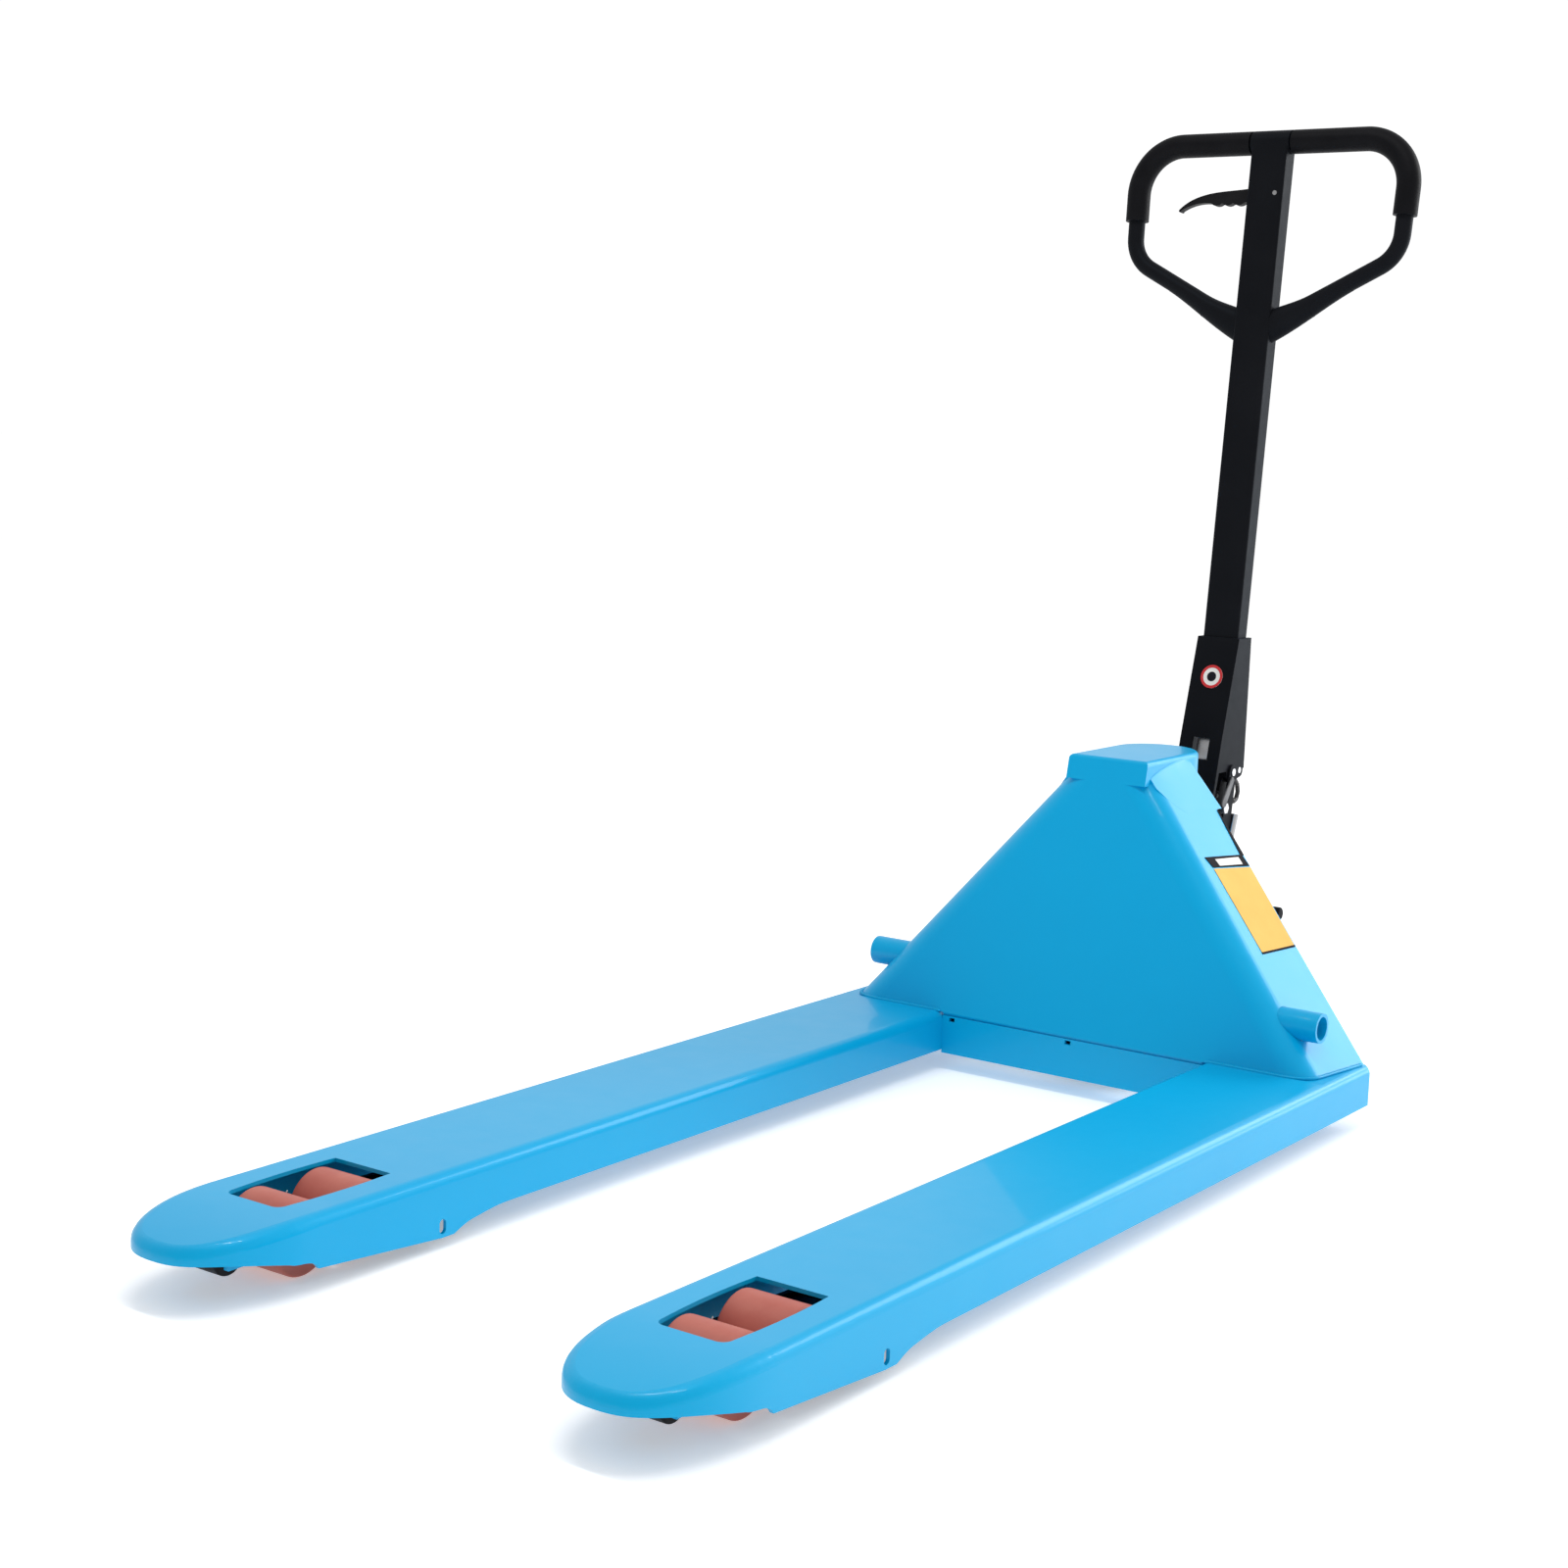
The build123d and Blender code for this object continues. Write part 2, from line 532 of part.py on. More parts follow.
def build_pump():
    """Casting: base on the axle, ram cylinder, oil reservoir and plunger block."""
    base = block(-22, 22, STEER_Y - 24, STEER_Y + 24, 66, 184)
    base = fillet(base.edges().filter_by(Axis.Z), 10)
    flange = rod_z(0, STEER_Y, 48, 182, SEAT_Z - 8)
    cylinder = rod_z(0, STEER_Y, CYLINDER_R, 184, 338)
    tank = block(-38, 38, STEER_Y, 330, 240, 290)
    tank = fillet(tank.edges().filter_by(Axis.Z), 14)
    tower = rod_z(0, PLUNGER_Y, 24, 232, TOWER_TOP)
    bridge = block(-24, 24, 300, PLUNGER_Y, 240, TOWER_TOP)
    ear = link_face((PIVOT_Y, PIVOT_Z, 10), (316, 296, 14))
    ear += link_face((RELEASE_Y, RELEASE_Z, 7), (RELEASE_Y, TOWER_TOP, 9))
    body = base + flange + cylinder + tank + tower + bridge
    body += with_mirror(side_plate(ear, EAR_X, EAR_X + EAR_T))
    body -= rod_x(PIVOT_Y, PIVOT_Z, PIVOT_R, -40, 40)
    body -= rod_z(0, STEER_Y, RAM_R + FIT, 190, 340)
    body -= rod_z(0, PLUNGER_Y, PLUNGER_R + FIT, 236, 330)
    body -= rod_x(STEER_Y, WHEEL_R, STEER_AXLE_R, -30, 30)
    body -= rod_x(RELEASE_Y, RELEASE_Z, 3, -30, 30)
    body -= rod_x(PEDAL_Y, PEDAL_Z, 5, 36, 60)
    body -= rod_z(0, PLUNGER_Y, SPRING_POCKET_R, SPRING_FOOT, TOWER_TOP + 1)
    keep("pump_body", body)
    gland = rod_z(0, STEER_Y, 30, 338, 344) - rod_z(0, STEER_Y, RAM_R + FIT, 330, 350)
    keep("ram_seal", gland)
    axle_half = WHEEL_X + WHEEL_WIDTH / 2 + 2
    keep("steer_axle", rod_x(STEER_Y, WHEEL_R, STEER_AXLE_R, -axle_half, axle_half))
    pin = rod_x(PIVOT_Y, PIVOT_Z, PIVOT_R, 14, 33) + rod_x(PIVOT_Y, PIVOT_Z, 5, 33, 34.5)
    stud = rod_x(PEDAL_Y, PEDAL_Z, 5, 36, 52) + rod_x(PEDAL_Y, PEDAL_Z, 8, 50.5, 54)
    release_pin = rod_x(RELEASE_Y, RELEASE_Z, 3, -24, 24)
    keep("pump_pins", with_mirror(pin) + stud + release_pin)


def build_release():
    """Valves on the pump's right side, the release lever and the foot pedal."""
    hexagon = Plane.YZ.offset(30) * Pos(*RELIEF_YZ) * RegularPolygon(7.5, 6)
    cap = extrude(hexagon, 6) + rod_x(*RELIEF_YZ, 5, 24, 31)
    filler = extrude(Pos(26, 246, 290) * RegularPolygon(9, 6), 6)
    keep("pump_plugs", cap + filler)
    cartridge = Pos(34, 348, 300) * Rot(-20, 0, 0) * Cylinder(6, 30)
    keep("release_valve", cartridge + rod_x(*VALVE_YZ, 4, 24, 34))
    lever = link_face((304, RELEASE_Z - 3, 5), (RELEASE_Y, RELEASE_Z, 7))
    lever += link_face((RELEASE_Y, RELEASE_Z, 7), (334, 361, 4))
    lever = side_plate(lever, -6, 6) - rod_x(RELEASE_Y, RELEASE_Z, 3 + FIT, -10, 10)
    keep("release_lever", lever)
    arm = link_face((PEDAL_Y, PEDAL_Z, 10), (362, 188, 6))
    arm = side_plate(arm, 44, 50) - rod_x(PEDAL_Y, PEDAL_Z, 5 + FIT, 40, 60)
    pad = rod_x(362, 188, 9, 66, 104)
    pad = fillet(pad.edges().filter_by(GeomType.CIRCLE), 3)
    keep("foot_pedal", arm + rod_x(362, 188, 6, 46, 92) + pad)


def build_plunger():
    """Pump plunger with its return spring and the roller that presses it."""
    head_z = PIVOT_Z - CAM_R - 1.5
    body = rod_z(0, PLUNGER_Y, PLUNGER_R, 270, head_z - 5)
    body += rod_z(0, PLUNGER_Y, 13, head_z - 5, head_z)
    keep("plunger", body)
    gap = SPRING_WIRE + 0.3
    height = head_z - 5 - SPRING_FOOT - 2 * gap
    helix = Helix(pitch=height / 6, height=height, radius=10.5)
    section = Plane(origin=helix @ 0, z_dir=helix % 0) * Circle(SPRING_WIRE)
    spring = sweep(section, path=helix, is_frenet=True)
    keep("plunger_spring", Pos(0, PLUNGER_Y, SPRING_FOOT + gap) * spring)
    cam = rod_x(CAM_Y, PIVOT_Z, CAM_R, -9, 9) - rod_x(CAM_Y, PIVOT_Z, 4 + FIT, -12, 12)
    keep("cam_roller", cam)


def build_steer_wheels():
    half = WHEEL_WIDTH / 2
    tyre = rod_x(STEER_Y, WHEEL_R, WHEEL_R, WHEEL_X - half, WHEEL_X + half)
    tyre = fillet(tyre.edges().filter_by(GeomType.CIRCLE), 5)
    tyre -= rod_x(STEER_Y, WHEEL_R, HUB_R, 0, 100)
    both_sides("steer_tyre", tyre)
    hub = rod_x(STEER_Y, WHEEL_R, HUB_R, WHEEL_X - half, WHEEL_X + half)
    for sign in (-1, 1):
        face = WHEEL_X + sign * half
        dish = rod_x(STEER_Y, WHEEL_R, HUB_R - 8, face, face - sign * 14)
        hub -= dish - rod_x(STEER_Y, WHEEL_R, 26, 0, 100)
    hub -= rod_x(STEER_Y, WHEEL_R, STEER_AXLE_R + FIT, 0, 100)
    both_sides("steer_hub", hub)


# ---------------------------------------------------------------- handle

def yoke_front(z):
    """y of the yoke's sloping front face above its knee."""
    return 308 + (345 - 308) * (z - 412) / (548 - 412)


def build_yoke():
    """U-shaped lower bracket of the handle, open at the rear."""
    outline = side_face([
        (yoke_front(548), 548), (308, 412), (292, 343), (298, 343), (306, 374), (380, 374), (381, 548),
    ])
    lobe = link_face((PIVOT_Y, PIVOT_Z, 14), (CAM_Y, PIVOT_Z, 9), (348, 395, 24))
    cheeks = side_plate(outline, -YOKE_HALF, YOKE_HALF)
    cheeks += side_plate(lobe, -YOKE_HALF, YOKE_HALF)
    inside = side_face([
        (348.2, 549), (312.5, 412), (297, 342), (300, 300), (420, 300), (420, 549),
    ])
    body = cheeks - side_plate(inside, YOKE_T - YOKE_HALF, YOKE_HALF - YOKE_T)
    body -= block(-12.5, 12.5, 280, 330, 390, 418)
    for sign in (-1, 1):
        body -= rod_x(PIVOT_Y, PIVOT_Z, PIVOT_R + FIT, sign * 20, sign * 40)
    body -= rod_x(CAM_Y, PIVOT_Z, 4, -40, 40)
    keep("handle_yoke", body)
    slope = Vector(0, yoke_front(500) - yoke_front(499), 1).normalized()
    face = Plane(origin=(0, yoke_front(497), 497), x_dir=(1, 0, 0), z_dir=(0, -slope.Z, slope.Y))
    keep("yoke_disc", extrude(face * Circle(15.5), 0.8))


def column_frame(z):
    """Frame on the column's centre line: local x is lateral, y rearward, z up the column."""
    lean = Vector(0, COLUMN_SLOPE, 1).normalized()
    return Plane(origin=(0, column_front(z) + COLUMN_Y / 2, z), x_dir=(1, 0, 0), z_dir=lean)


def column_view(z):
    """Plane of the loop, seen from the front: local x is lateral, local y up the column."""
    frame = column_frame(z)
    return Plane(origin=frame.origin, x_dir=(1, 0, 0), z_dir=frame.y_dir * -1)


def build_column():
    foot = column_frame(COLUMN_FOOT)
    length = (LOOP_TOP - COLUMN_FOOT) * (1 + COLUMN_SLOPE ** 2) ** 0.5
    outer = RectangleRounded(COLUMN_X, COLUMN_Y, 4)
    inner = RectangleRounded(COLUMN_X - 2 * COLUMN_WALL, COLUMN_Y - 2 * COLUMN_WALL, 1.5)
    sleeve_y = column_front(LOOP_TOP) + COLUMN_Y / 2
    shaft = extrude(foot * outer, length)
    body = shaft + rod_x(sleeve_y, LOOP_TOP, GRIP_R, -27, 27)
    body -= extrude(foot * inner, length - GRIP_R + 2)
    body -= rod_x(sleeve_y, LOOP_TOP, LOOP_R, -60, 60)
    frame = column_frame(LEVER_Z)
    body -= frame * (Pos(-22, 0, 4) * Box(12, 13, 42))
    pin = frame * (Pos(LEVER_PIVOT_X, 0, 0) * Rot(90, 0, 0) * Cylinder(3, COLUMN_Y + 1))
    keep("handle_column", body - pin)
    keep("handle_pins", pin + rod_x(CAM_Y, PIVOT_Z, 4, -YOKE_HALF, YOKE_HALF))
    return shaft


def loop_path():
    """Centre line of the loop in the column's middle plane."""
    view = column_view(LOOP_TOP)
    stretch = (1 + COLUMN_SLOPE ** 2) ** 0.5
    right = [(10, 950), (189, 1044), (LOOP_HALF, LOOP_TOP)]
    corners = right + [(-x, z) for x, z in reversed(right)]
    points = [view.from_local_coords(Vector(x, (z - LOOP_TOP) * stretch, 0)) for x, z in corners]
    return FilletPolyline(*points, radius=[48, 62, 62, 48])


def tube_along(path, section, start, end):
    """A section swept along part of a path, between two fractions of its length."""
    piece = path.trim(start, end) if (start, end) != (0, 1) else path
    return sweep(Plane(origin=piece @ 0, z_dir=piece % 0) * section, path=piece)


def build_loop(column):
    path = loop_path()
    loop = tube_along(path, Circle(LOOP_R), 0, 1)
    view = column_view(958)
    run = Vector(64, 27)
    root = view.from_local_coords(Vector(12, -7))
    end = view.from_local_coords(Vector(12, -7) + run)
    arm = Plane(origin=root, x_dir=view.z_dir, z_dir=end - root)
    flare = loft([arm * Ellipse(13, 20), arm.offset(run.length) * Circle(LOOP_R)])
    loop += with_mirror(flare)
    keep("handle_loop", loop - (column & block(-60, 60, 0, 500, 400, LOOP_TOP - 60)))
    steps = [step / 800 for step in range(801)]
    grip_low = next(t for t in steps if (path @ t).Z > GRIP_END)
    grip_in = next(t for t in steps if (path @ t).Z > LOOP_TOP - 3 and (path @ t).X < 30)
    grip = tube_along(path, Circle(GRIP_R) - Circle(LOOP_R), grip_low, grip_in)
    keep("grips", with_mirror(grip))


def build_control_lever():
    """Three-way lever with a curved tip and finger notches, and the rod that it pulls."""
    view = column_view(LEVER_Z)
    top = Spline((-20, 9), (-67, 5), (-97, -0.5), (-116, -9), (-126, -17))
    tip = ThreePointArc((-126, -17), (-126.5, -19.2), (-123, -18.5))
    under = Spline((-123, -18.5), (-107, -11.5), (-94, -9.3), (-80, -9.6))
    notches = []
    for x in (-80, -64, -48):
        notches.append(ThreePointArc((x, -9.6), (x + 8, -13), (x + 16, -9.6)))
    root = Polyline((-32, -9.6), (-20, -9.6), (-20, 9))
    blade = make_face(Curve() + [top, tip, under, *notches, root])
    blade += link_face((LEVER_PIVOT_X, 0, 6.5), (-21, 1, 7))
    lever = extrude(view * blade, 5, both=True)
    pin_slot = link_face((0.1, 0, 2.6), (-1.3, 0, 2.6))
    lever -= extrude(view * pin_slot, 12, both=True)
    frame = column_frame(LEVER_Z)
    lever -= frame * (Pos(LEVER_PIVOT_X, 0, 0) * Rot(90, 0, 0) * Cylinder(3 + FIT, 30))
    keep("control_lever", lever)
    fork_end = Pos(0, 0, -4) * (Box(8, 16, 18) - Pos(0, 0, 3) * Box(12, 10.8, 20))
    rod = fork_end + Pos(0, 0, -12 - ROD_LENGTH / 2) * Cylinder(3, ROD_LENGTH)
    rod += Rot(90, 0, 0) * Cylinder(2, 16)
    keep("pull_rod", frame * rod)


def build_chain():
    """Roller chain between the pull rod and the release lever."""
    rod_end = column_frame(LEVER_Z) * Pos(0, 0, -12 - ROD_LENGTH)
    start = rod_end.position - Vector(0, 0, 5)
    count = 5
    step = (CHAIN_END - start) / count
    links = []
    for index in range(count):
        a = start + step * index
        b = a + step
        near = 2.0 if index % 2 else 3.6
        plate = link_face((a.Y, a.Z, 4.6), (b.Y, b.Z, 4.6))
        links.append(with_mirror(side_plate(plate, near, near + 1.5)))
        links.append(rod_x(b.Y, b.Z, 2.4, -5.6, 5.6))
    head = rod_x(start.Y, start.Z, 2.4, -5.6, 5.6)
    keep("release_chain", head + links)


def main():
    build_forks()
    build_cross_member()
    build_shell()
    build_cap()
    build_labels()
    build_rocker()
    build_push_rod()
    build_bracket()
    build_bogie()
    build_load_rollers()
    build_seat()
    build_pump()
    build_release()
    build_plunger()
    build_steer_wheels()
    build_yoke()
    build_loop(build_column())
    build_control_lever()
    build_chain()


main()
os.makedirs("parts", exist_ok=True)
for name, shape in parts.items():
    export_step(Pos(0, SHIFT_Y, 0) * shape, "parts/" + name + ".step")
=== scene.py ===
import json
from math import acos, atan2, cos, pi, radians, sin

import bmesh
import bpy
from mathutils import Matrix, Vector


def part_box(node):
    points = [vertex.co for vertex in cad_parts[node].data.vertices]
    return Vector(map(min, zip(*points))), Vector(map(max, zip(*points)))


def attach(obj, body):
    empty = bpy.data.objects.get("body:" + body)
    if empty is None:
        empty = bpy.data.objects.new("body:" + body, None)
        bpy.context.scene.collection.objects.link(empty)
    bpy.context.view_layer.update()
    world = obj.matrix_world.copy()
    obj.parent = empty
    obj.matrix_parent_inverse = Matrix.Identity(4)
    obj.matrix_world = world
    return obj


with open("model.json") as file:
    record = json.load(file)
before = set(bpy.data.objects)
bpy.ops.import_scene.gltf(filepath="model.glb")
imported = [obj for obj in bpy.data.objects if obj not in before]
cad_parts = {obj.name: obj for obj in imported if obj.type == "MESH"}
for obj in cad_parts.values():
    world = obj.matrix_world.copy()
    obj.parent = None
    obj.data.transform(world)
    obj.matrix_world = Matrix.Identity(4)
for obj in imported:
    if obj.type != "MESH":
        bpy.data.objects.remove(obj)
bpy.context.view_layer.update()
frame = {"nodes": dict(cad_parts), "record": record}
nodes = frame["nodes"]

MM = 0.001
SMOOTH_DEGREES = 32     # CAD edges sharper than this stay sharp


# ---------------------------------------------------------------- camera

def make_camera():
    """A long lens, low and beyond the fork tips on the +x side, rolled a little about its own axis."""
    place = (1.4538, -2.2531, 0.8244)
    azimuth, elevation, roll = radians(35.8), radians(8.5), radians(1.7)
    back = Vector((sin(azimuth) * cos(elevation), -cos(azimuth) * cos(elevation), sin(elevation)))
    right = Vector((cos(azimuth), sin(azimuth), 0))
    up = back.cross(right)
    turned_right = right * cos(roll) + up * sin(roll)
    turned_up = up * cos(roll) - right * sin(roll)
    data = bpy.data.cameras.new("camera")
    data.lens = 57.0
    data.sensor_width = 36.0
    data.clip_end = 50
    camera = bpy.data.objects.new("camera", data)
    bpy.context.scene.collection.objects.link(camera)
    rotation = Matrix((turned_right, turned_up, back)).transposed().to_4x4()
    camera.matrix_world = Matrix.Translation(place) @ rotation
    bpy.context.scene.camera = camera


# ---------------------------------------------------------------- materials

def new_material(name):
    material = bpy.data.materials.new(name)
    material.use_nodes = True
    tree = material.node_tree
    shader = tree.nodes["Principled BSDF"]
    return material, tree, shader


def add_noise(tree, scale, detail=4.0, roughness=0.55):
    """Noise in the object's own metres, so that it stays with the piece."""
    place = tree.nodes.new("ShaderNodeTexCoord")
    noise = tree.nodes.new("ShaderNodeTexNoise")
    noise.inputs["Scale"].default_value = scale
    noise.inputs["Detail"].default_value = detail
    noise.inputs["Roughness"].default_value = roughness
    tree.links.new(place.outputs["Object"], noise.inputs["Vector"])
    return noise


def add_ramp(tree, source, stops):
    ramp = tree.nodes.new("ShaderNodeValToRGB")
    tree.links.new(source, ramp.inputs["Fac"])
    elements = ramp.color_ramp.elements
    elements[0].position, elements[0].color = stops[0][0], (*stops[0][1], 1)
    elements[1].position, elements[1].color = stops[-1][0], (*stops[-1][1], 1)
    for position, colour in stops[1:-1]:
        elements.new(position).color = (*colour, 1)
    return ramp


def add_range(tree, source, low, high):
    """Maps a 0 to 1 value to low to high."""
    node = tree.nodes.new("ShaderNodeMapRange")
    tree.links.new(source, node.inputs["Value"])
    node.inputs["To Min"].default_value = low
    node.inputs["To Max"].default_value = high
    return node


def add_bump(tree, shader, height, strength, distance):
    bump = tree.nodes.new("ShaderNodeBump")
    bump.inputs["Strength"].default_value = strength
    bump.inputs["Distance"].default_value = distance
    tree.links.new(height, bump.inputs["Height"])
    tree.links.new(bump.outputs["Normal"], shader.inputs["Normal"])
    return bump


def finish(name, stops, roughness, noise_scale=6.0, coat=0.0, metallic=0.0, specular=0.5,
           bump=(400.0, 0.05, 0.0002), coat_roughness=0.08, sheen=0.0, sheen_tint=(1, 1, 1),
           specular_tint=(1, 1, 1)):
    """A painted, moulded or metal surface: cloudy colour, uneven gloss and a fine grain."""
    material, tree, shader = new_material(name)
    cloud = add_noise(tree, noise_scale)
    ramp = add_ramp(tree, cloud.outputs["Fac"], stops)
    tree.links.new(ramp.outputs["Color"], shader.inputs["Base Color"])
    gloss = add_noise(tree, noise_scale * 9)
    spread = add_range(tree, gloss.outputs["Fac"], *roughness)
    tree.links.new(spread.outputs["Result"], shader.inputs["Roughness"])
    grain = add_noise(tree, bump[0], 2.0)
    add_bump(tree, shader, grain.outputs["Fac"], bump[1], bump[2])
    shader.inputs["Metallic"].default_value = metallic
    shader.inputs["Specular IOR Level"].default_value = specular
    shader.inputs["Specular Tint"].default_value = (*specular_tint, 1)
    shader.inputs["Coat Weight"].default_value = coat
    shader.inputs["Coat Roughness"].default_value = coat_roughness
    shader.inputs["Sheen Weight"].default_value = sheen
    shader.inputs["Sheen Roughness"].default_value = 0.35
    shader.inputs["Sheen Tint"].default_value = (*sheen_tint, 1)
    return material


def make_materials():
    blue = finish(
        "blue_enamel",
        [(0.25, (0.0, 0.355, 0.67)), (0.5, (0.0, 0.37, 0.685)), (0.8, (0.0, 0.385, 0.7))],
        (0.34, 0.44), noise_scale=3.0, coat=0.2, coat_roughness=0.05, bump=(60.0, 0.06, 0.0003),
        specular=0.38, specular_tint=(0.2, 0.65, 1.0),
    )
    black = finish(
        "black_enamel",
        [(0.3, (0.006, 0.006, 0.007)), (0.7, (0.009, 0.009, 0.0105))],
        (0.4, 0.5), noise_scale=8.0, specular=0.04, bump=(900.0, 0.1, 0.0002),
        sheen=0.04, sheen_tint=(0.35, 0.55, 1.0), specular_tint=(0.5, 0.75, 1.0),
    )
    grip = finish(
        "grip_rubber",
        [(0.3, (0.004, 0.004, 0.005)), (0.7, (0.007, 0.007, 0.0085))],
        (0.42, 0.55), noise_scale=20.0, specular=0.06, bump=(1500.0, 0.2, 0.0003),
        sheen=0.012, sheen_tint=(0.35, 0.55, 1.0),
    )
    tyre = finish(
        "tyre_rubber",
        [(0.3, (0.012, 0.012, 0.013)), (0.7, (0.022, 0.021, 0.021))],
        (0.55, 0.75), noise_scale=14.0, bump=(700.0, 0.25, 0.0004),
    )
    nylon = finish(
        "black_nylon",
        [(0.3, (0.004, 0.004, 0.005)), (0.7, (0.008, 0.008, 0.009))],
        (0.4, 0.55), noise_scale=30.0, bump=(1200.0, 0.15, 0.0002), specular=0.12,
    )
    red = finish(
        "roller_polyurethane",
        [(0.25, (0.4, 0.085, 0.06)), (0.5, (0.45, 0.11, 0.08)), (0.75, (0.5, 0.145, 0.105))],
        (0.38, 0.55), noise_scale=18.0, bump=(500.0, 0.2, 0.0004), specular=0.4,
    )
    cast = finish(
        "cast_iron",
        [(0.3, (0.1, 0.1, 0.105)), (0.7, (0.17, 0.17, 0.175))],
        (0.45, 0.65), noise_scale=40.0, metallic=0.7, bump=(600.0, 0.4, 0.0005),
    )
    steel = finish(
        "bare_steel",
        [(0.3, (0.42, 0.42, 0.43)), (0.7, (0.58, 0.58, 0.59))],
        (0.22, 0.36), noise_scale=60.0, metallic=1.0, bump=(900.0, 0.1, 0.0002),
    )
    chrome = finish(
        "hard_chrome",
        [(0.3, (0.68, 0.69, 0.71)), (0.7, (0.76, 0.77, 0.79))],
        (0.06, 0.12), noise_scale=60.0, metallic=1.0, bump=(900.0, 0.03, 0.0001),
    )
    dark = finish(
        "phosphate_steel",
        [(0.3, (0.035, 0.035, 0.038)), (0.7, (0.07, 0.068, 0.066))],
        (0.4, 0.6), noise_scale=50.0, metallic=0.6, bump=(900.0, 0.2, 0.0003),
    )
    yellow = finish(
        "label_yellow",
        [(0.3, (0.84, 0.48, 0.12)), (0.7, (0.9, 0.53, 0.14))],
        (0.55, 0.65), noise_scale=22.0, bump=(500.0, 0.06, 0.0001), specular=0.1,
    )
    plate = finish(
        "label_black",
        [(0.3, (0.008, 0.008, 0.012)), (0.7, (0.014, 0.014, 0.02))],
        (0.6, 0.7), noise_scale=40.0, bump=(800.0, 0.06, 0.0001), specular=0.08,
    )
    pale = finish(
        "label_pale",
        [(0.3, (0.72, 0.7, 0.66)), (0.7, (0.8, 0.78, 0.74))],
        (0.35, 0.5), noise_scale=40.0, bump=(800.0, 0.06, 0.0001),
    )
    ring = finish(
        "label_red",
        [(0.3, (0.5, 0.012, 0.016)), (0.7, (0.58, 0.02, 0.025))],
        (0.35, 0.5), noise_scale=40.0, bump=(800.0, 0.06, 0.0001),
    )
    return {
        "blue_paint": blue, "black_paint": black, "black_rubber": grip, "tyre_rubber": tyre,
        "nylon_black": nylon, "roller_red": red, "cast_grey": cast, "bare_steel": steel,
        "chrome_steel": chrome, "dark_steel": dark, "yellow_plate": yellow, "black_plate": plate,
        "disc_white": pale, "label_red": ring,
    }


def paint_nodes(materials):
    slot_of = {entry["node"]: entry["material_slot"] for entry in frame["record"]["subparts"]}
    for name, node in nodes.items():
        key = slot_of[name]
        if "steer_tyre" in name:
            key = "tyre_rubber"
        material = materials[key]
        node.data.materials.clear()
        node.data.materials.append(material)
        smooth_by_angle(node.data, SMOOTH_DEGREES)


def smooth_by_angle(mesh, degrees):
    """Shades curved faces smooth and keeps corners sharp. The vertices are left alone."""
    mesh.shade_smooth()
    mesh.set_sharp_from_angle(angle=radians(degrees))


# ---------------------------------------------------------------- stage and light

def make_stage():
    """A wide white floor that glows a little, so that it stays pale out to the horizon."""
    size = 60.0
    bm = bmesh.new()
    corners = [(-size, -size, 0), (size, -size, 0), (size, size, 0), (-size, size, 0)]
    bm.faces.new([bm.verts.new(corner) for corner in corners])
    mesh = bpy.data.meshes.new("floor")
    bm.to_mesh(mesh)
    bm.free()
    floor = bpy.data.objects.new("floor", mesh)
    floor.location.z = -0.0005
    bpy.context.scene.collection.objects.link(floor)
    paint = finish(
        "pale_floor", [(0.3, (0.9, 0.9, 0.9)), (0.7, (0.92, 0.92, 0.92))], (0.8, 0.9), noise_scale=1.5,
        specular=0.0, bump=(200.0, 0.02, 0.0002),
    )
    shader = paint.node_tree.nodes["Principled BSDF"]
    shader.inputs["Emission Color"].default_value = (1, 1, 1, 1)
    shader.inputs["Emission Strength"].default_value = 0.34
    floor.data.materials.append(paint)


def area_light(name, place, target, size, radiance, colour=(1, 1, 1)):
    """A rectangular panel of one brightness, given as radiance rather than power."""
    data = bpy.data.lights.new(name, "AREA")
    data.shape = "RECTANGLE"
    data.size, data.size_y = size
    data.energy = radiance * pi * size[0] * size[1]
    data.color = colour
    light = bpy.data.objects.new(name, data)
    light.location = place
    light.rotation_euler = (Vector(target) - Vector(place)).to_track_quat("-Z", "Y").to_euler()
    bpy.context.scene.collection.objects.link(light)


def make_world():
    """White behind the object; as a light it is dimmer, and dimmest on the side of the fork tips."""
    world = bpy.data.worlds.new("studio")
    bpy.context.scene.world = world
    world.use_nodes = True
    tree = world.node_tree
    background = tree.nodes["Background"]
    background.inputs["Color"].default_value = (1.0, 1.0, 1.0, 1)
    place = tree.nodes.new("ShaderNodeTexCoord")
    split = tree.nodes.new("ShaderNodeSeparateXYZ")
    tree.links.new(place.outputs["Generated"], split.inputs["Vector"])
    fade = tree.nodes.new("ShaderNodeMapRange")
    fade.interpolation_type = "SMOOTHSTEP"
    fade.inputs["From Min"].default_value = -0.9
    fade.inputs["From Max"].default_value = 0.5
    fade.inputs["To Min"].default_value = 0.5
    fade.inputs["To Max"].default_value = 0.88
    tree.links.new(split.outputs["Y"], fade.inputs["Value"])
    path = tree.nodes.new("ShaderNodeLightPath")
    mix = tree.nodes.new("ShaderNodeMix")
    tree.links.new(path.outputs["Is Camera Ray"], mix.inputs["Factor"])
    tree.links.new(fade.outputs["Result"], mix.inputs["A"])
    mix.inputs["B"].default_value = 1.05
    tree.links.new(mix.outputs["Result"], background.inputs["Strength"])


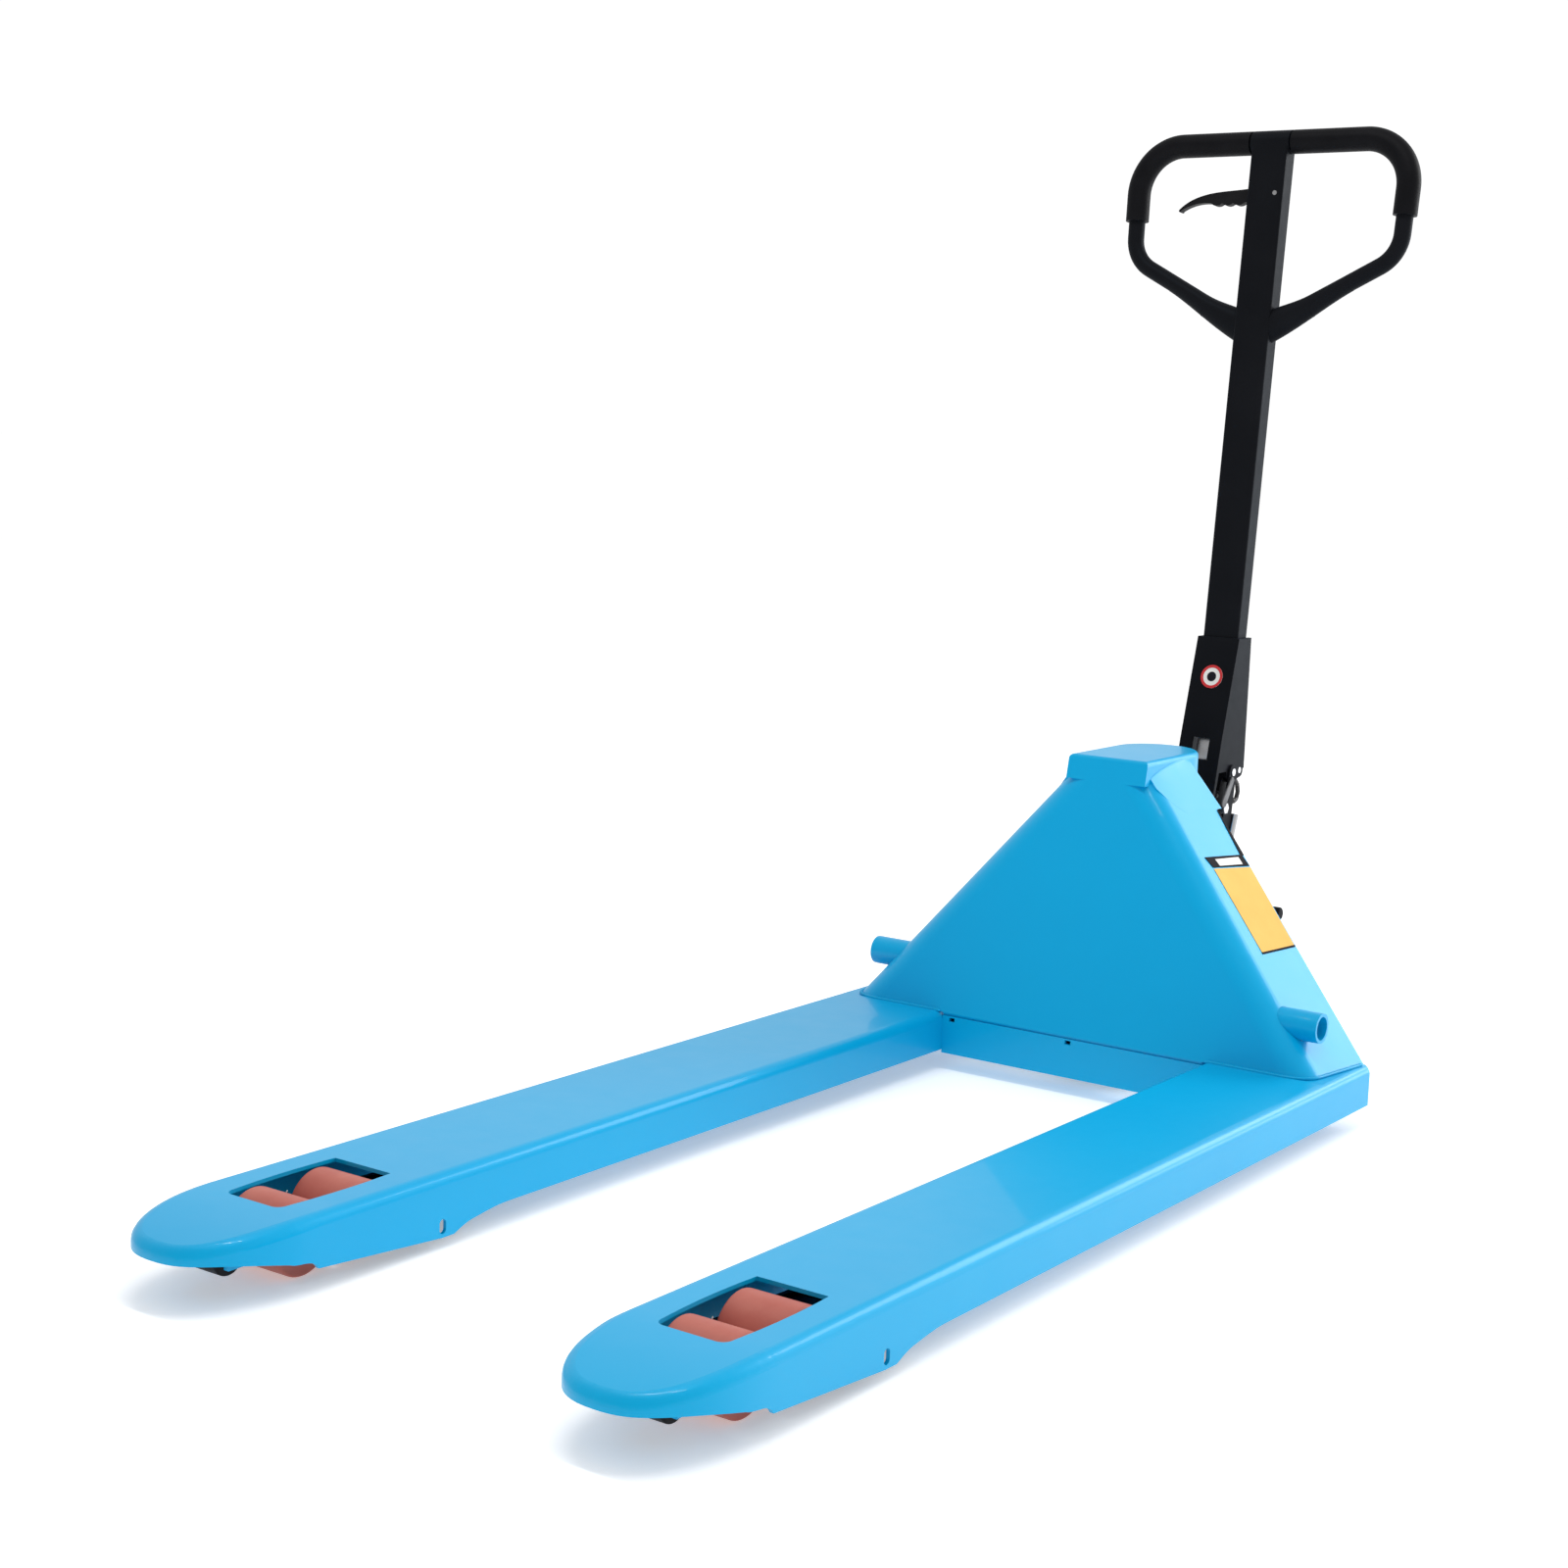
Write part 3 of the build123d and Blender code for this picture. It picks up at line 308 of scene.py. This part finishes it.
def make_light():
    make_world()
    area_light("side_panel", (1.75, 3.2, 1.95), (0.1, -0.1, 0.15), (1.7, 1.7), 6.5)
    area_light("low_panel", (2.3, 4.6, 0.5), (0.3, 0, 0.1), (2.2, 0.9), 5.5, (0.86, 0.93, 1.0))
    area_light("strip_light", (0.25, -0.5, 3.1), (0.25, -0.5, 0), (2.6, 0.07), 55)
    area_light("top_panel", (0.3, -0.5, 3.4), (0, -0.3, 0), (2.4, 2.4), 0.3)
    bpy.context.scene.view_settings.view_transform = "Standard"


# ---------------------------------------------------------------- mesh helpers

# Millimetres, with y counted from a plane just behind the front of the cross member.
SHIFT_Y = 388.375                               # from the frame's y to that plane
FLANK_X, FLANK_Y, SHELL_FOOT = 336, 111, 76     # a point of the flank's outer face, at its foot
FLANK_BY_Y, FLANK_BY_Z = 0.1505, 0.8668         # how the flank widens rearward and narrows upward
FRONT_Y, FRONT_Z, FRONT_SLOPE = 54.7, 400, 0.206
COLUMN_FRONT, COLUMN_Z, COLUMN_SLOPE = 355, 615, 0.1
COLUMN_HALF_DEPTH = 15


def at(x, y, z):
    """A point of the truck in metres, from millimetres with y counted from that plane."""
    return Vector((x, y + SHIFT_Y, z)) * MM


def add_piece(name, bm, material, body, smooth=40):
    mesh = bpy.data.meshes.new(name)
    bmesh.ops.recalc_face_normals(bm, faces=bm.faces)
    bm.to_mesh(mesh)
    bm.free()
    mesh.materials.append(material)
    smooth_by_angle(mesh, smooth)
    piece = bpy.data.objects.new(name, mesh)
    bpy.context.scene.collection.objects.link(piece)
    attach(piece, body)
    return piece


def skin(bm, rings):
    """A closed skin over rings of points that all have the same count, with a cap at each end."""
    rows = [[bm.verts.new(point) for point in ring] for ring in rings]
    for one, two in zip(rows, rows[1:]):
        count = len(one)
        for index in range(count):
            after = (index + 1) % count
            bm.faces.new((one[index], one[after], two[after], two[index]))
    bm.faces.new(rows[0])
    bm.faces.new(list(reversed(rows[-1])))


def around(centre, axis_a, axis_b, radius, count):
    """Points of a circle in the plane of two unit vectors."""
    return [
        centre + axis_a * (radius * cos(2 * pi * k / count)) + axis_b * (radius * sin(2 * pi * k / count))
        for k in range(count)
    ]


def bead_path(bm, points, radius, ripple=0.16, pitch=2.2):
    """A weld bead along a line of points in metres: a round bead with small ripples and tapered ends."""
    samples = []
    for start, end in zip(points, points[1:]):
        steps = max(2, int((end - start).length / (0.5 * pitch * MM)))
        samples += [start.lerp(end, k / steps) for k in range(steps)]
    samples.append(points[-1])
    rings = []
    last = len(samples) - 1
    for index, centre in enumerate(samples):
        ahead = (samples[min(index + 1, last)] - samples[max(index - 1, 0)]).normalized()
        steep = abs(ahead.z) > 0.9
        side = ahead.orthogonal() if steep else ahead.cross(Vector((0, 0, 1)))
        side.normalize()
        taper = min(1.0, 0.35 + min(index, last - index) / 4)
        size = radius * MM * taper * (1 + ripple * cos(pi * index))
        rings.append(around(centre, side, side.cross(ahead), size, 8))
    skin(bm, rings)


def lathe_ring(bm, centre, axis, profile, count=48):
    """A closed profile of (along, radius) points in millimetres turned about an axis."""
    one = axis.orthogonal().normalized()
    two = axis.cross(one)
    rings = []
    for step in range(count):
        angle = 2 * pi * step / count
        out = one * cos(angle) + two * sin(angle)
        rings.append([centre + axis * (along * MM) + out * (radius * MM) for along, radius in profile])
    rows = [[bm.verts.new(point) for point in ring] for ring in rings]
    rows.append(rows[0])
    size = len(profile)
    for first, second in zip(rows, rows[1:]):
        for index in range(size):
            after = (index + 1) % size
            bm.faces.new((first[index], first[after], second[after], second[index]))


def hexagon_head(bm, centre, axis, width, height, washer=1.35):
    """A bolt head with a chamfered top and a washer under it."""
    one = axis.orthogonal().normalized()
    two = axis.cross(one)
    rim = around(centre, one, two, width * 0.5 * washer * MM, 24)
    skin(bm, [rim, [point + axis * (0.12 * height * MM) for point in rim]])
    corner = width / 2 / cos(pi / 6) * MM
    levels = ((0.12, 1.0), (0.85, 1.0), (1.0, 0.86))
    skin(bm, [
        [point + axis * (height * level * MM) for point in around(centre, one, two, corner * size, 6)]
        for level, size in levels
    ])


# ---------------------------------------------------------------- the body's details

def flank_x(y, z):
    return FLANK_X + FLANK_BY_Y * (y - FLANK_Y) - FLANK_BY_Z * (z - SHELL_FOOT)


def front_y(z):
    return FRONT_Y + FRONT_SLOPE * (z - FRONT_Z)


def column_y(z, behind=0):
    """The front face of the leaning handle column at a height, or a place that far behind it."""
    return COLUMN_FRONT + COLUMN_SLOPE * (z - COLUMN_Z) + behind


def on_flank(y, z, lift, side=1):
    """A point on a flank, lifted off it along its outward normal."""
    normal = Vector((0.751 * side, -0.113, 0.651)).normalized()
    return at(side * flank_x(y, z), y, z) + normal * (lift * MM)


def build_coves(materials):
    """Hollow shoulders where the flanks run up into the head cap."""
    cap_low, cap_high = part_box("head_cap")
    half = (cap_high.x - cap_low.x) / 2 / MM
    bm = bmesh.new()
    for side in (1, -1):
        rings = []
        for step in range(25):
            y = 66 + step * 4.1
            meeting = SHELL_FOOT + (FLANK_X + FLANK_BY_Y * (y - FLANK_Y) - half) / FLANK_BY_Z
            corner = Vector((half + 0.5, meeting))
            spread = 1 - 0.75 * (1 - min(step, 8) / 8) ** 2
            low = corner.y - (corner.y - 352) * spread
            start = Vector((flank_x(y, low) + 0.1, low))
            end = Vector((half + 0.3, min(corner.y + 6 * spread, 409)))
            ring = []
            for part in range(13):
                t = part / 12
                p = start * (1 - t) ** 2 + corner * (2 * t * (1 - t)) + end * t ** 2
                ring.append(at(side * p.x, y, p.y))
            ring.append(at(side * (half - 3), y, end.y - 2))
            ring.append(at(side * (start.x - 6), y, start.y - 2))
            rings.append(ring)
        skin(bm, rings)
    add_piece("shoulder_coves", bm, materials["blue_paint"], "frame", 60)


def build_weld_seams(materials):
    """Painted weld run round the foot of the shell, bent round its two front corners."""
    foot, inner, rear, bend = 76.3, 186, 104, (34.4, 26.6)
    front = front_y(SHELL_FOOT) - 0.6
    edge = flank_x(front, SHELL_FOOT) + 0.5
    bm = bmesh.new()
    for side in (1, -1):
        run = [at(side * inner, front, foot)]
        for step in range(9):
            t = step / 8
            x = edge - bend[0] * (1 - t) ** 2 + FLANK_BY_Y * bend[1] * t ** 2
            run.append(at(side * x, front + bend[1] * t ** 2, foot))
        run.append(at(side * (flank_x(rear, SHELL_FOOT) + 0.5), rear, foot))
        bead_path(bm, run, 2.2)
    add_piece("foot_welds", bm, materials["blue_paint"], "frame", 70)


def build_label_strips(materials):
    """Dark lines under the label and up the flank's rear edge, and a pale window in the header plate."""
    def strip(corners, lift, thickness):
        bm = bmesh.new()
        low = [on_flank(y, z, lift) for y, z in corners]
        high = [on_flank(y, z, lift + thickness) for y, z in corners]
        skin(bm, [low, high])
        return bm
    # a thin dark strip laid on the flank just under the label's lower edge
    line = strip([(58.6, 202.2), (127.4, 202.2), (127.2, 200.3), (58.4, 200.3)], 0.1, 0.75)
    add_piece("label_foot_line", line, materials["black_plate"], "frame")
    window = strip([(86, 301.2), (132, 299.2), (131.5, 291.3), (87, 293.8)], 0.8, 0.35)
    add_piece("header_window", window, materials["disc_white"], "frame")
    # a thin dark strip laid on the flank, running up towards its rear edge above the header plate
    edge = strip([(139, 300), (146, 300), (154.6, 351), (152.8, 351)], 0.1, 0.6)
    add_piece("flank_edge_dark_strip", edge, materials["black_plate"], "frame")


def build_disc_ring(materials):
    """Plain red ring round the pale disc on the yoke, with a grey dot in the middle."""
    low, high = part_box("yoke_disc")
    centre = (low + high) / 2
    rise = Vector((0, 37, 136)).normalized()
    outward = Vector((0, -rise.z, rise.y))
    centre = centre + outward * (0.4 * MM)
    bm = bmesh.new()
    lathe_ring(bm, centre, outward, [(0, 15.6), (0, 11.9), (0.35, 12.1), (0.35, 15.4)])
    add_piece("disc_ring", bm, materials["label_red"], "handle")
    bm = bmesh.new()
    lathe_ring(bm, centre, outward, [(0, 6.5), (0, 0.02), (0.3, 0.02), (0.3, 6.3)])
    add_piece("disc_dot", bm, materials["black_plate"], "handle")


def side_link(bm, discs, x0, x1, bevel=0.8):
    """A strap with round ends across x, stretched between two (y, z, radius) discs, edges bevelled."""
    (ya, za, ra), (yb, zb, rb) = discs
    along = Vector((yb - ya, zb - za)).normalized()
    start = atan2(along.y, along.x)
    lean = acos(max(-1.0, min(1.0, (ra - rb) / (Vector((yb - ya, zb - za)).length))))
    outline = []
    for step in range(17):
        angle = start + lean + (2 * pi - 2 * lean) * step / 16
        outline.append((ya, za, cos(angle), sin(angle), ra))
    for step in range(17):
        angle = start - lean + 2 * lean * step / 16
        outline.append((yb, zb, cos(angle), sin(angle), rb))
    rings = []
    for x, inset in ((x0, bevel), (x0 + bevel, 0), (x1 - bevel, 0), (x1, bevel)):
        rings.append([at(x, y + c * (r - inset), z + s * (r - inset)) for y, z, c, s, r in outline])
    skin(bm, rings)


def build_yoke_details(materials):
    """Chain guide that shows in the window of the yoke, and welds between yoke and column."""
    bm = bmesh.new()
    rings = []
    for level, inset in ((388.5, 1.5), (390, 0), (417, 0), (418.5, 1.5)):
        y, half = 316 + (level - 388) * 0.27, 11.0
        nose = [(-half, y), (-half + 1.5, y - 1.5), (half - 1.5, y - 1.5), (half, y)]
        corners = nose + [(half, y + 9), (-half, y + 9)]
        middle = y + 3.5
        rings.append([
            at(x * (1 - inset / half), middle + (yy - middle) * (1 - inset / 6), level) for x, yy in corners
        ])
    skin(bm, rings)
    add_piece("chain_guide", bm, materials["bare_steel"], "handle", 30)
    bm = bmesh.new()
    for side in (1, -1):
        for step in range(2):
            z = 470 + 58 * step
            heights = [z + 4 * k for k in range(5)]
            bead_path(bm, [at(side * 25.6, column_y(height, 4), height) for height in heights], 1.5)
    add_piece("yoke_welds", bm, materials["black_paint"], "handle", 70)


def build_arm_sleeves(materials):
    """Flared sleeve round the root of each arm of the loop, from the column out to the bare tube."""
    root_x, root_z, length, steps = 12, 951, 128, 32
    up = Vector((0, COLUMN_SLOPE, 1)).normalized()
    back = Vector((0, 1, -COLUMN_SLOPE)).normalized()
    bm = bmesh.new()
    for side in (1, -1):
        along = (Vector((side * 0.885, 0, 0)) + up * 0.466).normalized()
        across = along.cross(back) * side
        start = at(side * root_x, column_y(root_z, COLUMN_HALF_DEPTH), root_z)
        rings = []
        for step in range(steps + 1):
            t = step / steps
            far = (1 + cos(pi * t)) / 2
            near = (1 + cos(pi * min(1, t / 0.6))) / 2
            upper, lower, thick = 11.2 + 9 * near, 11.2 + 10.4 * far ** 0.8, 11.2 + 2.6 * far ** 0.8
            centre = start + along * (length * t * MM)
            ring = []
            for part in range(28):
                angle = 2 * pi * part / 28
                reach = upper if sin(angle) > 0 else lower
                ring.append(centre + (across * (reach * sin(angle)) + back * (thick * cos(angle))) * MM)
            rings.append(ring)
        skin(bm, rings)
    add_piece("arm_sleeves", bm, materials["black_paint"], "handle", 60)


def build_pump_links(materials):
    """Pivot strap, stop plate and return hooks on both sides of the handle's pivot."""
    for name, side in (("right", 1), ("left", -1)):
        near, far = sorted((side * 30.6, side * 33.4))
        bm = bmesh.new()
        side_link(bm, [(342, 372, 10), (330, 306, 13)], near, far)
        add_piece(name + "_stop_plate", bm, materials["black_paint"], "pump", 30)
        near, far = sorted((side * 33.5, side * 36.0))
        bm = bmesh.new()
        side_link(bm, [(337, 362, 4.5), (316, 334, 6.5)], near, far)
        add_piece(name + "_pivot_strap", bm, materials["cast_grey"], "pump", 30)
        bm = bmesh.new()
        hook = [(350, 357), (362, 361), (375, 358), (384, 350), (387, 340), (383, 331), (375, 328), (369, 333)]
        bead_path(bm, [at(side * 20, y, z) for y, z in hook], 3.2, ripple=0.0, pitch=2.5)
        add_piece(name + "_return_hook", bm, materials["dark_steel"], "pump", 60)


# ---------------------------------------------------------------- the rollers' details

def build_spring_clips(materials):
    """Bent wire clips between the two rollers of each fork, on the left link plate."""
    for body, centre_x in (("right_bogie", 262.5), ("left_bogie", -262.5)):
        low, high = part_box(body.replace("bogie", "bogie_plates"))
        x = centre_x - 34.5
        middle = (low.y + high.y) / 2 / MM - SHIFT_Y
        points = [at(x, middle + 3 * cos(k * 0.4), 44 + k) for k in range(17)]
        bm = bmesh.new()
        bead_path(bm, points, 1.1, ripple=0.0, pitch=3.0)
        add_piece(body + "_clip", bm, materials["bare_steel"], body, 60)


# ---------------------------------------------------------------- the pump's details

def build_pump_fasteners(materials):
    """Bolt heads with washers, the same on both sides of the pump."""
    bm = bmesh.new()
    outward = Vector((1, 0, 0))
    upper = [(24, 318, 306, 13, 6), (24, 334, 322, 10, 5)]
    lower = [(38, 300, 268, 13, 6), (38, 256, 262, 13, 6)]
    for x, y, z, width, height in upper + lower:
        hexagon_head(bm, at(x, y, z), outward, width, height)
        hexagon_head(bm, at(-x, y, z), -outward, width, height)
    add_piece("pump_bolts", bm, materials["bare_steel"], "pump", 30)


def build_wheel_caps(materials):
    """A nut with a washer on each end of the steering axle."""
    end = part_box("steer_axle")[1].x / MM
    bm = bmesh.new()
    for side in (1, -1):
        axis = Vector((side, 0, 0))
        hexagon_head(bm, at(side * (end - 3), 180, 90), axis, 26, 3.0, washer=1.5)
    add_piece("axle_nuts", bm, materials["bare_steel"], "pump", 30)


make_camera()
materials = make_materials()
paint_nodes(materials)
build_coves(materials)
build_weld_seams(materials)
build_label_strips(materials)
build_disc_ring(materials)
build_yoke_details(materials)
build_arm_sleeves(materials)
build_pump_links(materials)
build_spring_clips(materials)
build_pump_fasteners(materials)
build_wheel_caps(materials)
make_stage()
make_light()
